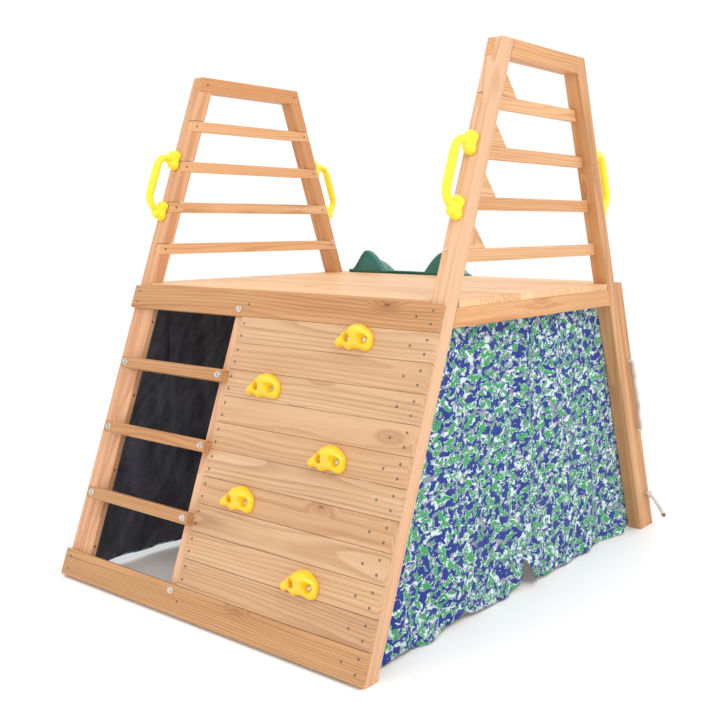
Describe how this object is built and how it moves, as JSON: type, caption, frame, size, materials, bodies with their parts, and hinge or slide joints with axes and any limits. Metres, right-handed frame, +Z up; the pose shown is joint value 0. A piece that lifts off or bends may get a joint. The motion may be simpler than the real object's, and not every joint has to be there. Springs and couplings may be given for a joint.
{
  "type": "climbing frame",
  "caption": "Timber climbing tower with leaning ladder frames, a deck, a plank climbing wall, steps, fabric side walls, hand grips, a rope ladder and a slide.",
  "frame": {"origin": "on the ground, at the bottom centre of the whole object's box, with the slide and the rope's tail counted", "axes": "+Z up, the climbing wall faces -Y, the slide runs towards +Y, +X to the right as seen from the climbing wall"},
  "size_m": [1.3118, 2.8062, 1.605],
  "materials": {
    "leg_wood": "satin",
    "rung_wood": "satin",
    "frame_wood": "satin",
    "deck_wood": "satin",
    "wall_wood": "satin",
    "trim_wood": "satin",
    "camo_fabric": "matte",
    "slide_plastic": "gloss",
    "grip_plastic": "gloss",
    "hold_plastic": "gloss",
    "rope_fibre": "matte",
    "screw_steel": "satin",
    "bolt_steel": "satin"
  },
  "bodies": {
    "root": {"leg_front_left": "leg_wood", "leg_front_right": "leg_wood", "leg_rear_left": "leg_wood", "leg_rear_right": "leg_wood", "top_rail_left": "leg_wood", "top_rail_right": "leg_wood", "rim_beam_left": "leg_wood", "rim_beam_right": "leg_wood", "rung_left_1": "rung_wood", "rung_left_2": "rung_wood", "rung_left_3": "rung_wood", "rung_left_4": "rung_wood", "rung_right_1": "rung_wood", "rung_right_2": "rung_wood", "rung_right_3": "rung_wood", "rung_right_4": "rung_wood", "gussets": "rung_wood", "rear_header": "frame_wood", "deck_joist": "frame_wood", "stringer_left": "frame_wood", "stringer_right": "frame_wood", "stud_middle": "frame_wood", "rear_post_left": "frame_wood", "rear_post_middle": "frame_wood", "rear_post_right": "frame_wood", "deck_board_01": "deck_wood", "deck_board_02": "deck_wood", "deck_board_03": "deck_wood", "deck_board_04": "deck_wood", "deck_board_05": "deck_wood", "deck_board_06": "deck_wood", "deck_board_07": "deck_wood", "deck_board_08": "deck_wood", "deck_board_09": "deck_wood", "deck_board_10": "deck_wood", "wall_plank_01": "wall_wood", "wall_plank_02": "wall_wood", "wall_plank_03": "wall_wood", "wall_plank_04": "wall_wood", "wall_plank_05": "wall_wood", "wall_plank_06": "wall_wood", "wall_plank_07": "wall_wood", "wall_plank_08": "wall_wood", "wall_plank_09": "wall_wood", "wall_plank_10": "wall_wood", "kick_board": "trim_wood", "fascia_board": "trim_wood", "step_1": "trim_wood", "step_2": "trim_wood", "step_3": "trim_wood", "fabric_wall_left": "camo_fabric", "fabric_wall_right": "camo_fabric", "slide": "slide_plastic", "hand_grips": "grip_plastic", "climbing_holds": "hold_plastic", "rope": "rope_fibre", "wood_screws": "screw_steel", "pan_head_screws": "screw_steel", "coach_bolts": "bolt_steel", "hold_bolts": "bolt_steel"}
  },
  "joints": []
}
